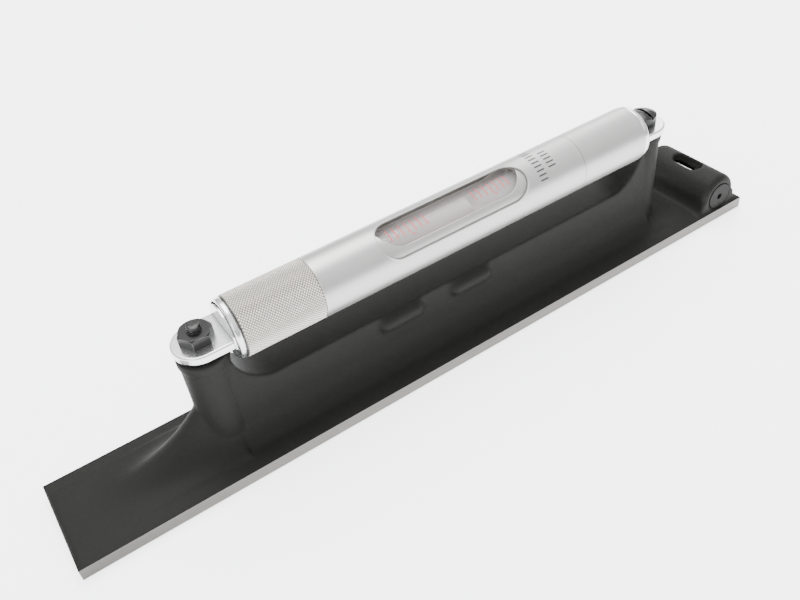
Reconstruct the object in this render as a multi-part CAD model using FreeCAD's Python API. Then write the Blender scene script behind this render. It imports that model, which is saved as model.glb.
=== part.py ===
"""Precision machinist level, 8 inch class. Millimetres, +Z up.

The origin is the centre of the sole. +X runs along the base towards the cross vial, and -Y is
the side with the adjusting nut at the left hand.
"""
import FreeCAD, Part
import math
import os

# ---- base casting ----
BASE_LENGTH = 203.2
BASE_WIDTH = 27.0
BAND_HEIGHT = 3.3            # ground band round the edge of the flange
FLANGE_RISE = 0.6            # the cast top rises this much from the band to the web's foot
FLANGE_MARGIN = 4.0          # nearly flat strip along each long edge
WEB_THICKNESS = 9.2
WEB_FLARE_HEIGHT = 7.5       # height of the concave flare at the web's foot
NEAR_TOE = 7.0               # from the near end of the base to where the ridge starts
NEAR_RIDGE_RISE = 24.0       # height that the ridge reaches inside the near pillar
FAR_TOE = 8.0                # run of the ridge behind the far pillar
FAR_RIDGE_RISE = 11.0        # height that the ridge reaches inside the far pillar
RIDGE_STATIONS = 7           # cross-sections that shape each ridge
RIDGE_POINTS = 13            # points across each of them
RIDGE_TOE_NARROWING = 1.7    # how fast a ridge falls away sideways, at its toe
RIDGE_NARROWING = 3.0        # the same inside the pillar
RIDGE_SHOULDER = 3           # power of that fall: a high one makes a flat crest
FUSE_TOLERANCE = 1e-4        # distance under which the casting's joined surfaces count as touching
RIDGE_OVERRUN = 1.0          # how far a ridge runs past the middle of its pillar
RIDGE_SWEEP = 70.0           # degrees of an ellipse that the crest follows up to the pillar
SADDLE_GAP = 6.6             # clear space between the web and the sleeve
SADDLE_FLARE = 9.0           # run of the curve from a pillar down to the saddle
VEE_WIDTH = 8.0
VEE_ANGLE = 120.0            # included angle of the groove along the sole
NEAR_NECK_RADIUS = 5.5
FAR_NECK_RADIUS = 5.0
BOSS_PROUD = 0.4             # how far each pillar's boss stands out from its neck
BOSS_HEIGHT = 2.6
BOSS_ROUND = 0.5
PAD_RADIUS = 2.6             # raised cast pads on the web's sides
PAD_LENGTH = 13.5
PAD_PROUD = 1.8
PAD_DROP = 2.8               # from the saddle down to the pads' middle
PAD_PLACES = (-12.8, 8.2)

# ---- tube with the main vial ----
TUBE_CENTRE = 6.3            # middle of the tube along the base
TUBE_LENGTH = 117.0
TUBE_AXIS_Z = 33.5
SLEEVE_RADIUS = 7.45
SLEEVE_WALL = 0.55
RUNNING_GAP = 0.05           # between the turning sleeve and the tube inside it
VIAL_TUBE_WALL = 0.85
WASHER_THICKNESS = 0.2
WASHER_WIDTH = 0.3
WASHER_PLAY = 0.03
FIT_GAP = 0.02               # between pieces that are fixed in each other

# ---- windows ----
WINDOW_CENTRE = -1.1         # from the middle of the tube
SLEEVE_WINDOW_LENGTH = 43.0
SLEEVE_WINDOW_WIDTH = 10.1
SLEEVE_WINDOW_TURN = 33.0    # degrees that the sleeve is turned towards -Y
TUBE_WINDOW_LENGTH = 41.0
TUBE_WINDOW_WIDTH = 11.2

# ---- main vial ----
VIAL_RADIUS = 5.2
VIAL_WALL = 1.1
VIAL_LENGTH = 64.0
VIAL_ROUND = 1.6
BUBBLE_LENGTH = 24.0
BUBBLE_DEPTH = 2.0
BUBBLE_END_GAP = 1.0         # between the bubble and the far end of the vial's cavity
BEDDING_LENGTH = 9.0
LIQUID_GAP = 0.02

# ---- end plugs ----
FLANGE_RADIUS = 7.3
FLANGE_THICKNESS = 1.5
FLANGE_ROUND = 0.5
RELIEF_GAP = 0.35            # between the far plug and the pillar, which is cut back round it
GROOVE_WIDTH = 0.5
GROOVE_DEPTH = 0.7
HUB_RADIUS = 6.3
HUB_LENGTH = 0.5
SPIGOT_LENGTH = 6.0
NEAR_EAR_REACH = 7.9         # from the plug's inner face to the hole in the ear
FAR_EAR_REACH = 6.0
EAR_RISE = 1.1               # from the tube's axis to the ear's top face
EAR_WIDTH = 12.0
EAR_THICKNESS = 2.1
EAR_ROUND = 0.45
EAR_HOLE_GAP = 0.35          # room round the adjusting stud

# ---- adjustment ----
ADJUST_GAP = 1.0             # between the near ear and its pillar
STUD_RADIUS = 1.6
STUD_DEPTH = 14.0            # how deep the stud stands in the pillar
STUD_ABOVE_NUT = 1.6
STUD_ROUND = 0.9
NUT_FLATS = 6.9
NUT_HEIGHT = 2.8
NUT_CHAMFER = 0.45
NUT_TURN = 0.0               # degrees of the hexagon's corner from +X
NUT_GAP = 0.05
NUT_SEAT = 0.02
SPRING_WIRE = 0.3            # radius of the wire
SPRING_WALL_GAP = 0.25       # between the spring and its pocket, and between spring and stud
SPRING_POCKET = 5.0
SPRING_TURNS = 5.0

# ---- pivot ----
PIVOT_PLAY = 0.05
PIVOT_RADIUS = 1.7
PIVOT_HOLE_GAP = 0.1
PIVOT_DEPTH = 12.0
PIVOT_HEAD_RADIUS = 3.6
PIVOT_HEAD_HEIGHT = 2.7
PIVOT_DOME = 1.0
PIVOT_SLOT_WIDTH = 0.9
PIVOT_SLOT_DEPTH = 1.3

# ---- cross vial ----
BARREL_FROM_END = 8.9        # from the far end of the base to the barrel's axis
BARREL_Z = 7.2
BARREL_RADIUS = 6.3
BARREL_LENGTH = 25.2
BARREL_FOOT = 3.0            # radius of the concave foot
BARREL_NEAR_ROUND = 2.0
BARREL_FAR_ROUND = 2.3
BARREL_BORE = 3.9
BARREL_WINDOW_LENGTH = 9.4
BARREL_WINDOW_WIDTH = 4.8
CROSS_VIAL_RADIUS = 3.1
CROSS_VIAL_WALL = 0.7
CROSS_END_GAP = 0.3
CROSS_PLUG_THICKNESS = 2.2
CROSS_PLUG_HOLE = 0.9
CROSS_PLUG_HOLE_DEPTH = 1.1
CROSS_BUBBLE_LENGTH = 4.5
CROSS_BUBBLE_DEPTH = 1.2
CROSS_BEDDING_DROP = -0.2     # from the plaster's top up to the vial's axis

# ---- worked out from the sizes above ----
TUBE_START = TUBE_CENTRE - TUBE_LENGTH / 2
TUBE_END = TUBE_CENTRE + TUBE_LENGTH / 2
SLEEVE_BORE = SLEEVE_RADIUS - SLEEVE_WALL
VIAL_TUBE_RADIUS = SLEEVE_BORE - RUNNING_GAP
VIAL_TUBE_BORE = VIAL_TUBE_RADIUS - VIAL_TUBE_WALL
WINDOW_X = TUBE_CENTRE + WINDOW_CENTRE
NEAR_X = TUBE_START - NEAR_EAR_REACH
FAR_X = TUBE_END + FAR_EAR_REACH
EAR_TOP = TUBE_AXIS_Z + EAR_RISE
EAR_BOTTOM = EAR_TOP - EAR_THICKNESS
NEAR_BOSS_TOP = EAR_BOTTOM - ADJUST_GAP
FAR_BOSS_TOP = EAR_BOTTOM - PIVOT_PLAY
SADDLE_Z = TUBE_AXIS_Z - SLEEVE_RADIUS - SADDLE_GAP
TOP_Z = BAND_HEIGHT + FLANGE_RISE
BARREL_X = BASE_LENGTH / 2 - BARREL_FROM_END
NUT_BOTTOM = EAR_TOP + NUT_SEAT
NUT_TOP = NUT_BOTTOM + NUT_HEIGHT
OVERCUT = 1.0                # how far a cutting tool runs past what it cuts

X_AXIS = FreeCAD.Vector(1, 0, 0)
Y_AXIS = FreeCAD.Vector(0, 1, 0)
Z_AXIS = FreeCAD.Vector(0, 0, 1)


def point(x, y, z):
    return FreeCAD.Vector(x, y, z)


def rod_x(radius, start, end, y=0.0, z=TUBE_AXIS_Z):
    """Solid rod along X."""
    return Part.makeCylinder(radius, end - start, point(start, y, z), X_AXIS)


def rod_y(radius, start, end, x, z):
    """Solid rod along Y."""
    return Part.makeCylinder(radius, end - start, point(x, start, z), Y_AXIS)


def rod_z(radius, start, end, x, y=0.0):
    """Solid rod along Z."""
    return Part.makeCylinder(radius, end - start, point(x, y, start), Z_AXIS)


def block(start, end):
    """Box between two corners."""
    return Part.makeBox(end[0] - start[0], end[1] - start[1], end[2] - start[2], point(*start))


def line(start, end):
    return Part.LineSegment(start, end).toShape()


def sweep_curve(start, end, corner, fullness):
    """Smooth bend from start to end that leaves and arrives along the lines to the corner."""
    curve = Part.BezierCurve()
    first = start + (corner - start) * fullness
    second = end + (corner - end) * fullness
    curve.setPoles([start, first, second, end])
    return curve.toShape()


def prism(edges, direction):
    """Solid made by pushing a closed outline along a vector."""
    return Part.Face(Part.Wire(edges)).extrude(direction)


def polygon_prism(points, direction):
    """Solid made by pushing a closed polygon along a vector."""
    outline = Part.makePolygon(points + points[:1])
    return Part.Face(outline).extrude(direction)


def obround_cutter(x, length, width, height):
    """Upright tool with round ends, long side along X, that starts on the tube's axis."""
    reach = (length - width) / 2
    bottom = TUBE_AXIS_Z
    middle = block((x - reach, -width / 2, bottom), (x + reach, width / 2, bottom + height))
    left = rod_z(width / 2, bottom, bottom + height, x - reach)
    right = rod_z(width / 2, bottom, bottom + height, x + reach)
    return middle.fuse([left, right]).removeSplitter()


# ---- base casting ----
def flange_section():
    """Cross-section of flange and web, as edges in the plane of the near end."""
    x = -BASE_LENGTH / 2
    half = BASE_WIDTH / 2
    foot = half - FLANGE_MARGIN
    web = WEB_THICKNESS / 2
    flare_top = TOP_Z + WEB_FLARE_HEIGHT
    roof = FAR_BOSS_TOP
    edges = [
        line(point(x, -half, 0), point(x, -half, BAND_HEIGHT)),
        line(point(x, -half, BAND_HEIGHT), point(x, -foot, TOP_Z)),
        sweep_curve(point(x, -foot, TOP_Z), point(x, -web, flare_top), point(x, -web, TOP_Z), 0.55),
        line(point(x, -web, flare_top), point(x, -web, roof)),
        line(point(x, -web, roof), point(x, web, roof)),
        line(point(x, web, roof), point(x, web, flare_top)),
        sweep_curve(point(x, web, flare_top), point(x, foot, TOP_Z), point(x, web, TOP_Z), 0.55),
        line(point(x, foot, TOP_Z), point(x, half, BAND_HEIGHT)),
        line(point(x, half, BAND_HEIGHT), point(x, half, 0)),
        line(point(x, half, 0), point(x, -half, 0)),
    ]
    return edges


def side_outline():
    """Side view of base and web, as edges in the plane of the -Y edge."""
    y = -BASE_WIDTH / 2
    start = -BASE_LENGTH / 2
    end = BASE_LENGTH / 2
    near_top = NEAR_BOSS_TOP - BOSS_HEIGHT
    far_top = FAR_BOSS_TOP - BOSS_HEIGHT
    near_right = NEAR_X + NEAR_NECK_RADIUS
    far_left = FAR_X - FAR_NECK_RADIUS
    near_inside = near_right - OVERCUT
    far_inside = far_left + OVERCUT
    near_saddle = near_right + SADDLE_FLARE
    far_saddle = far_left - SADDLE_FLARE
    edges = [
        line(point(start, y, 0), point(start, y, TOP_Z)),
        line(point(start, y, TOP_Z), point(NEAR_X, y, TOP_Z)),
        line(point(NEAR_X, y, TOP_Z), point(NEAR_X, y, SADDLE_Z)),
        line(point(NEAR_X, y, SADDLE_Z), point(near_inside, y, near_top)),
        sweep_curve(
            point(near_inside, y, near_top), point(near_saddle, y, SADDLE_Z), point(near_right, y, SADDLE_Z), 0.55
        ),
        line(point(near_saddle, y, SADDLE_Z), point(far_saddle, y, SADDLE_Z)),
        sweep_curve(
            point(far_saddle, y, SADDLE_Z), point(far_inside, y, far_top), point(far_left, y, SADDLE_Z), 0.55
        ),
        line(point(far_inside, y, far_top), point(FAR_X, y, SADDLE_Z)),
        line(point(FAR_X, y, SADDLE_Z), point(FAR_X, y, TOP_Z)),
        line(point(FAR_X, y, TOP_Z), point(end, y, TOP_Z)),
        line(point(end, y, TOP_Z), point(end, y, 0)),
        line(point(end, y, 0), point(start, y, 0)),
    ]
    return edges


def ridge(toe, pillar_x, rise):
    """Ridge that grows out of the flange at its toe and runs into a pillar.

    Each cross-section is a bell whose height grows along an ellipse.
    """
    half = BASE_WIDTH / 2 - FLANGE_MARGIN
    bottom = BAND_HEIGHT / 2
    inward = math.copysign(1, pillar_x - toe)
    run = pillar_x + inward * RIDGE_OVERRUN - toe
    sweep = math.radians(RIDGE_SWEEP)
    sections = []
    for station in range(RIDGE_STATIONS):
        share = station / (RIDGE_STATIONS - 1)
        x = toe + run * math.sin(share * sweep) / math.sin(sweep)
        height = FLANGE_RISE / 4 + rise * (1 - math.cos(share * sweep)) / (1 - math.cos(sweep))
        narrowing = RIDGE_TOE_NARROWING + share * (RIDGE_NARROWING - RIDGE_TOE_NARROWING)
        crest = []
        for index in range(RIDGE_POINTS):
            side = 2 * index / (RIDGE_POINTS - 1) - 1
            bell = 1 / (1 + (narrowing * abs(side)) ** RIDGE_SHOULDER)
            crest.append(point(x, half * side, TOP_Z - FLANGE_RISE / 4 + height * bell))
        curve = Part.BSplineCurve()
        curve.interpolate(crest)
        feet = [
            line(crest[-1], point(x, half, bottom)),
            line(point(x, half, bottom), point(x, -half, bottom)),
            line(point(x, -half, bottom), crest[0]),
        ]
        sections.append(Part.Wire([curve.toShape()] + feet))
    return Part.makeLoft(sections, True, False)


def pillar(x, boss_top, neck_radius):
    """Round neck and boss of one pillar."""
    boss_bottom = boss_top - BOSS_HEIGHT
    neck = rod_z(neck_radius, BAND_HEIGHT, boss_bottom, x)
    boss = rod_z(neck_radius + BOSS_PROUD, boss_bottom, boss_top, x)
    rims = [edge for edge in boss.Edges if edge.BoundBox.ZLength < FIT_GAP]
    return neck.fuse(boss.makeFillet(BOSS_ROUND, rims))


def barrel_housing():
    """Barrel across the far end of the base, with its concave foot."""
    half = BARREL_LENGTH / 2
    left = BARREL_X - BARREL_RADIUS
    right = BARREL_X + BARREL_RADIUS
    bottom = BAND_HEIGHT / 2
    spread = min(BARREL_FOOT, BARREL_FROM_END - BARREL_RADIUS)
    foot_top = TOP_Z + BARREL_FOOT
    left_toe = left - BARREL_FOOT
    right_toe = right + spread
    edges = [
        line(point(left_toe, -half, bottom), point(left_toe, -half, BAND_HEIGHT)),
        sweep_curve(
            point(left_toe, -half, BAND_HEIGHT), point(left, -half, foot_top), point(left, -half, BAND_HEIGHT), 0.55
        ),
        line(point(left, -half, foot_top), point(right, -half, foot_top)),
        sweep_curve(
            point(right, -half, foot_top), point(right_toe, -half, BAND_HEIGHT), point(right, -half, BAND_HEIGHT), 0.55
        ),
        line(point(right_toe, -half, BAND_HEIGHT), point(right_toe, -half, bottom)),
        line(point(right_toe, -half, bottom), point(left_toe, -half, bottom)),
    ]
    foot = prism(edges, Y_AXIS * BARREL_LENGTH)
    near_half = rod_y(BARREL_RADIUS, -half, 0, BARREL_X, BARREL_Z)
    near_rim = [edge for edge in near_half.Edges if edge.BoundBox.YMax < FIT_GAP - half]
    far_half = rod_y(BARREL_RADIUS, 0, half, BARREL_X, BARREL_Z)
    far_rim = [edge for edge in far_half.Edges if edge.BoundBox.YMin > half - FIT_GAP]
    rounded = [near_half.makeFillet(BARREL_NEAR_ROUND, near_rim), far_half.makeFillet(BARREL_FAR_ROUND, far_rim)]
    return foot.fuse(rounded)


def web_pads():
    """Raised cast pads on both sides of the web, each with rounded ends."""
    z = SADDLE_Z - PAD_DROP
    reach = PAD_LENGTH / 2 - PAD_RADIUS
    pads = []
    for side in (-1, 1):
        y = side * (WEB_THICKNESS / 2 + PAD_PROUD - PAD_RADIUS)
        for place in PAD_PLACES:
            pads.append(rod_x(PAD_RADIUS, place - reach, place + reach, y, z))
            pads.append(Part.makeSphere(PAD_RADIUS, point(place - reach, y, z)))
            pads.append(Part.makeSphere(PAD_RADIUS, point(place + reach, y, z)))
    return pads


def vee_groove():
    """Groove along the sole, for round work."""
    depth = VEE_WIDTH / 2 / math.tan(math.radians(VEE_ANGLE / 2))
    x = -BASE_LENGTH / 2 - OVERCUT
    corners = [point(x, -VEE_WIDTH / 2, 0), point(x, 0, depth), point(x, VEE_WIDTH / 2, 0)]
    return polygon_prism(corners, X_AXIS * (BASE_LENGTH + 2 * OVERCUT))


def make_base_casting():
    body = prism(flange_section(), X_AXIS * BASE_LENGTH)
    body = body.common(prism(side_outline(), Y_AXIS * BASE_WIDTH))
    additions = [
        ridge(-BASE_LENGTH / 2 + NEAR_TOE, NEAR_X, NEAR_RIDGE_RISE),
        ridge(FAR_X + FAR_NECK_RADIUS + FAR_TOE, FAR_X, FAR_RIDGE_RISE),
        pillar(NEAR_X, NEAR_BOSS_TOP, NEAR_NECK_RADIUS),
        pillar(FAR_X, FAR_BOSS_TOP, FAR_NECK_RADIUS),
        barrel_housing(),
    ]
    body = body.fuse(additions + web_pads(), FUSE_TOLERANCE).removeSplitter()
    pocket_radius = STUD_RADIUS + 2 * SPRING_WALL_GAP + 2 * SPRING_WIRE
    window_half = BARREL_WINDOW_LENGTH / 2
    window_top = BARREL_Z + BARREL_RADIUS + OVERCUT
    window_reach = (BARREL_WINDOW_LENGTH - BARREL_WINDOW_WIDTH) / 2
    window_radius = BARREL_WINDOW_WIDTH / 2
    cuts = [
        vee_groove(),
        rod_z(STUD_RADIUS + FIT_GAP, NEAR_BOSS_TOP - STUD_DEPTH, NEAR_BOSS_TOP + OVERCUT, NEAR_X),
        rod_z(pocket_radius, NEAR_BOSS_TOP - SPRING_POCKET, NEAR_BOSS_TOP + OVERCUT, NEAR_X),
        rod_z(PIVOT_RADIUS + FIT_GAP, FAR_BOSS_TOP - PIVOT_DEPTH, FAR_BOSS_TOP + OVERCUT, FAR_X),
        rod_y(BARREL_BORE, -BARREL_LENGTH / 2 - OVERCUT, BARREL_LENGTH / 2 + OVERCUT, BARREL_X, BARREL_Z),
        block(
            (BARREL_X - window_radius, -window_half + window_radius, BARREL_Z),
            (BARREL_X + window_radius, window_half - window_radius, window_top),
        ),
        rod_z(window_radius, BARREL_Z, window_top, BARREL_X, -window_reach),
        rod_z(window_radius, BARREL_Z, window_top, BARREL_X, window_reach),
        rod_x(FLANGE_RADIUS + RELIEF_GAP, TUBE_END - RELIEF_GAP, TUBE_END + FLANGE_THICKNESS + RELIEF_GAP),
    ]
    return body.cut(cuts)


# ---- tube assembly ----
def make_cover_sleeve():
    end_play = WASHER_THICKNESS + 2 * WASHER_PLAY
    start = TUBE_START + end_play
    end = TUBE_END - end_play
    sleeve = rod_x(SLEEVE_RADIUS, start, end).cut(rod_x(SLEEVE_BORE, start - OVERCUT, end + OVERCUT))
    window = obround_cutter(WINDOW_X, SLEEVE_WINDOW_LENGTH, SLEEVE_WINDOW_WIDTH, SLEEVE_RADIUS + OVERCUT)
    window.rotate(point(0, 0, TUBE_AXIS_Z), X_AXIS, SLEEVE_WINDOW_TURN)
    return sleeve.cut(window)


def make_vial_tube():
    tube = rod_x(VIAL_TUBE_RADIUS, TUBE_START, TUBE_END)
    tube = tube.cut(rod_x(VIAL_TUBE_BORE, TUBE_START - OVERCUT, TUBE_END + OVERCUT))
    return tube.cut(obround_cutter(WINDOW_X, TUBE_WINDOW_LENGTH, TUBE_WINDOW_WIDTH, SLEEVE_RADIUS + OVERCUT))


def make_end_plug(hole_radius, reach):
    """Plug of the near end, with its ear towards -X."""
    face = TUBE_START - FLANGE_THICKNESS
    hole_x = TUBE_START - reach
    rim = rod_x(FLANGE_RADIUS, face, TUBE_START)
    edges = [edge for edge in rim.Edges if edge.BoundBox.XLength < FIT_GAP]
    rim = rim.makeFillet(FLANGE_ROUND, edges)
    groove = rod_x(HUB_RADIUS + GROOVE_WIDTH, face - OVERCUT, face + GROOVE_DEPTH)
    rim = rim.cut(groove.cut(rod_x(HUB_RADIUS, face - 2 * OVERCUT, face + 2 * OVERCUT)))
    hub = rod_x(HUB_RADIUS, face - HUB_LENGTH, face)
    below = block((face - HUB_LENGTH - OVERCUT, -FLANGE_RADIUS, 0), (face, FLANGE_RADIUS, EAR_BOTTOM))
    hub = hub.cut(below)
    spigot = rod_x(VIAL_TUBE_BORE - FIT_GAP, face, TUBE_START + SPIGOT_LENGTH)
    bar = block((hole_x, -EAR_WIDTH / 2, EAR_BOTTOM), (face, EAR_WIDTH / 2, EAR_TOP))
    ear = bar.fuse(rod_z(EAR_WIDTH / 2, EAR_BOTTOM, EAR_TOP, hole_x)).removeSplitter()
    inner_end = face - FIT_GAP
    rims = [edge for edge in ear.Edges if edge.BoundBox.ZLength < FIT_GAP and edge.BoundBox.XMin < inner_end]
    ear = ear.makeFillet(EAR_ROUND, rims)
    body = rim.fuse([hub, spigot, ear]).removeSplitter()
    return body.cut(rod_z(hole_radius, EAR_BOTTOM - OVERCUT, EAR_TOP + OVERCUT, hole_x))


def make_far_end_plug():
    plug = make_end_plug(PIVOT_RADIUS + PIVOT_HOLE_GAP, FAR_EAR_REACH)
    plug.rotate(point(TUBE_CENTRE, 0, TUBE_AXIS_Z), Z_AXIS, 180)
    return plug


def make_sleeve_washer(start):
    inner = VIAL_TUBE_RADIUS + WASHER_PLAY
    washer = rod_x(inner + WASHER_WIDTH, start, start + WASHER_THICKNESS)
    return washer.cut(rod_x(inner, start - OVERCUT, start + WASHER_THICKNESS + OVERCUT))


def vial_body(radius, length, centre, rounding):
    """Closed round rod along X with rounded ends."""
    rod = rod_x(radius, centre - length / 2, centre + length / 2)
    rims = [edge for edge in rod.Edges if edge.BoundBox.XLength < FIT_GAP]
    return rod.makeFillet(rounding, rims)


def make_main_vial_glass():
    outside = vial_body(VIAL_RADIUS, VIAL_LENGTH, WINDOW_X, VIAL_ROUND)
    cavity = vial_body(VIAL_RADIUS - VIAL_WALL, VIAL_LENGTH - 2 * VIAL_WALL, WINDOW_X, VIAL_ROUND)
    return outside.cut(cavity)


def make_main_vial_spirit():
    wall = VIAL_WALL + LIQUID_GAP
    radius = VIAL_RADIUS - wall
    liquid = vial_body(radius, VIAL_LENGTH - 2 * wall, WINDOW_X, VIAL_ROUND)
    end = WINDOW_X + VIAL_LENGTH / 2 - wall - BUBBLE_END_GAP
    start = end - BUBBLE_LENGTH
    floor = TUBE_AXIS_Z + radius - BUBBLE_DEPTH
    roof = TUBE_AXIS_Z + radius + OVERCUT
    hollow = block((start, -radius, floor), (end, radius, roof))
    upright = [edge for edge in hollow.Edges if edge.BoundBox.YLength > radius and edge.BoundBox.ZMax < roof]
    hollow = hollow.makeFillet(BUBBLE_DEPTH / 2, upright)
    return liquid.cut(hollow)


def make_vial_bedding(start):
    ring = rod_x(VIAL_TUBE_BORE - FIT_GAP, start, start + BEDDING_LENGTH)
    return ring.cut(rod_x(VIAL_RADIUS + FIT_GAP, start - OVERCUT, start + BEDDING_LENGTH + OVERCUT))


# ---- adjusting end ----
def make_adjusting_stud():
    stud = rod_z(STUD_RADIUS, NEAR_BOSS_TOP - STUD_DEPTH, NUT_TOP + STUD_ABOVE_NUT, NEAR_X)
    tip = [edge for edge in stud.Edges if edge.BoundBox.ZMin > NUT_TOP]
    return stud.makeFillet(STUD_ROUND, tip)


def make_adjusting_nut():
    corner = NUT_FLATS / 2 / math.cos(math.radians(30))
    corners = []
    for index in range(6):
        angle = math.radians(NUT_TURN + 60 * index)
        corners.append(point(NEAR_X + corner * math.cos(angle), corner * math.sin(angle), NUT_BOTTOM))
    hexagon = polygon_prism(corners, Z_AXIS * NUT_HEIGHT)
    flat = NUT_FLATS / 2
    shoulder = NUT_TOP - NUT_CHAMFER
    barrel = rod_z(corner + FIT_GAP, NUT_BOTTOM, shoulder, NEAR_X)
    slope = NUT_CHAMFER / (corner - flat)
    crown_radius = corner + FIT_GAP
    crown = Part.makeCone(crown_radius, crown_radius - NUT_CHAMFER / slope, NUT_CHAMFER, point(NEAR_X, 0, shoulder))
    nut = hexagon.common(barrel.fuse(crown).removeSplitter())
    return nut.cut(rod_z(STUD_RADIUS + NUT_GAP, NUT_BOTTOM - OVERCUT, NUT_TOP + OVERCUT, NEAR_X))


def make_adjusting_spring():
    bottom = NEAR_BOSS_TOP - SPRING_POCKET + SPRING_WIRE + FIT_GAP
    height = EAR_BOTTOM - SPRING_WIRE - FIT_GAP - bottom
    radius = STUD_RADIUS + SPRING_WALL_GAP + SPRING_WIRE
    helix = Part.makeHelix(height / SPRING_TURNS, height, radius)
    profile = Part.Wire(Part.makeCircle(SPRING_WIRE, point(radius, 0, 0), Y_AXIS))
    coil = Part.Wire(helix).makePipeShell([profile], True, True)
    coil.translate(point(NEAR_X, 0, bottom))
    return coil


# ---- pivot end ----
def make_pivot_screw():
    seat = EAR_TOP + PIVOT_PLAY
    top = seat + PIVOT_HEAD_HEIGHT + PIVOT_DOME
    shank = rod_z(PIVOT_RADIUS, FAR_BOSS_TOP - PIVOT_DEPTH, seat, FAR_X)
    head = rod_z(PIVOT_HEAD_RADIUS, seat, top, FAR_X)
    dome_radius = (PIVOT_HEAD_RADIUS**2 + PIVOT_DOME**2) / (2 * PIVOT_DOME)
    head = head.common(Part.makeSphere(dome_radius, point(FAR_X, 0, top - dome_radius)))
    reach = PIVOT_HEAD_RADIUS + OVERCUT
    half_slot = PIVOT_SLOT_WIDTH / 2
    slot = block((FAR_X - half_slot, -reach, top - PIVOT_SLOT_DEPTH), (FAR_X + half_slot, reach, top + OVERCUT))
    return shank.fuse(head).removeSplitter().cut(slot)


# ---- cross vial ----
def cross_length():
    return BARREL_LENGTH - 2 * CROSS_PLUG_THICKNESS - 2 * CROSS_END_GAP


def make_cross_vial_glass():
    half = cross_length() / 2
    inner = CROSS_VIAL_RADIUS - CROSS_VIAL_WALL
    glass = rod_y(CROSS_VIAL_RADIUS, -half, half, BARREL_X, BARREL_Z)
    return glass.cut(rod_y(inner, -half + CROSS_VIAL_WALL, half - CROSS_VIAL_WALL, BARREL_X, BARREL_Z))


def make_cross_vial_spirit():
    wall = CROSS_VIAL_WALL + LIQUID_GAP
    half = cross_length() / 2 - wall
    radius = CROSS_VIAL_RADIUS - wall
    liquid = rod_y(radius, -half, half, BARREL_X, BARREL_Z)
    floor = BARREL_Z + radius - CROSS_BUBBLE_DEPTH
    reach = CROSS_BUBBLE_LENGTH / 2
    hollow = block((BARREL_X - radius, -reach, floor), (BARREL_X + radius, reach, BARREL_Z + radius + OVERCUT))
    return liquid.cut(hollow)


def make_cross_vial_bedding():
    half = cross_length() / 2
    ring = rod_y(BARREL_BORE - FIT_GAP, -half, half, BARREL_X, BARREL_Z)
    ring = ring.cut(rod_y(CROSS_VIAL_RADIUS + FIT_GAP, -half - OVERCUT, half + OVERCUT, BARREL_X, BARREL_Z))
    level = BARREL_Z - CROSS_BEDDING_DROP
    upper = block((BARREL_X - BARREL_BORE, -half - OVERCUT, level), (BARREL_X + BARREL_BORE, half + OVERCUT, level + BARREL_BORE * 2))
    return ring.cut(upper)


def make_cross_plug(side):
    outer = side * BARREL_LENGTH / 2
    inner = outer - side * CROSS_PLUG_THICKNESS
    plug = rod_y(BARREL_BORE - FIT_GAP, min(outer, inner), max(outer, inner), BARREL_X, BARREL_Z)
    hole_end = outer - side * CROSS_PLUG_HOLE_DEPTH
    past = outer + side * OVERCUT
    return plug.cut(rod_y(CROSS_PLUG_HOLE, min(hole_end, past), max(hole_end, past), BARREL_X, BARREL_Z))


PIECES = {
    "base_casting": make_base_casting(),
    "cover_sleeve": make_cover_sleeve(),
    "vial_tube": make_vial_tube(),
    "near_end_plug": make_end_plug(STUD_RADIUS + EAR_HOLE_GAP, NEAR_EAR_REACH),
    "far_end_plug": make_far_end_plug(),
    "near_sleeve_washer": make_sleeve_washer(TUBE_START + WASHER_PLAY),
    "far_sleeve_washer": make_sleeve_washer(TUBE_END - WASHER_PLAY - WASHER_THICKNESS),
    "main_vial_glass": make_main_vial_glass(),
    "main_vial_spirit": make_main_vial_spirit(),
    "near_vial_bedding": make_vial_bedding(WINDOW_X - VIAL_LENGTH / 2),
    "far_vial_bedding": make_vial_bedding(WINDOW_X + VIAL_LENGTH / 2 - BEDDING_LENGTH),
    "adjusting_stud": make_adjusting_stud(),
    "adjusting_nut": make_adjusting_nut(),
    "adjusting_spring": make_adjusting_spring(),
    "pivot_screw": make_pivot_screw(),
    "cross_vial_glass": make_cross_vial_glass(),
    "cross_vial_spirit": make_cross_vial_spirit(),
    "cross_vial_bedding": make_cross_vial_bedding(),
    "near_cross_plug": make_cross_plug(-1),
    "far_cross_plug": make_cross_plug(1),
}

os.makedirs("parts", exist_ok=True)
for name, shape in PIECES.items():
    shape.exportStep(f"parts/{name}.step")
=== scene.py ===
"""Looks of the precision machinist level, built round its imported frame. Lengths are metres."""
from __future__ import annotations

import logging
import math
from collections.abc import Callable
from dataclasses import dataclass
from enum import Enum

import bpy
from mathutils import Matrix, Vector

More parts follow.
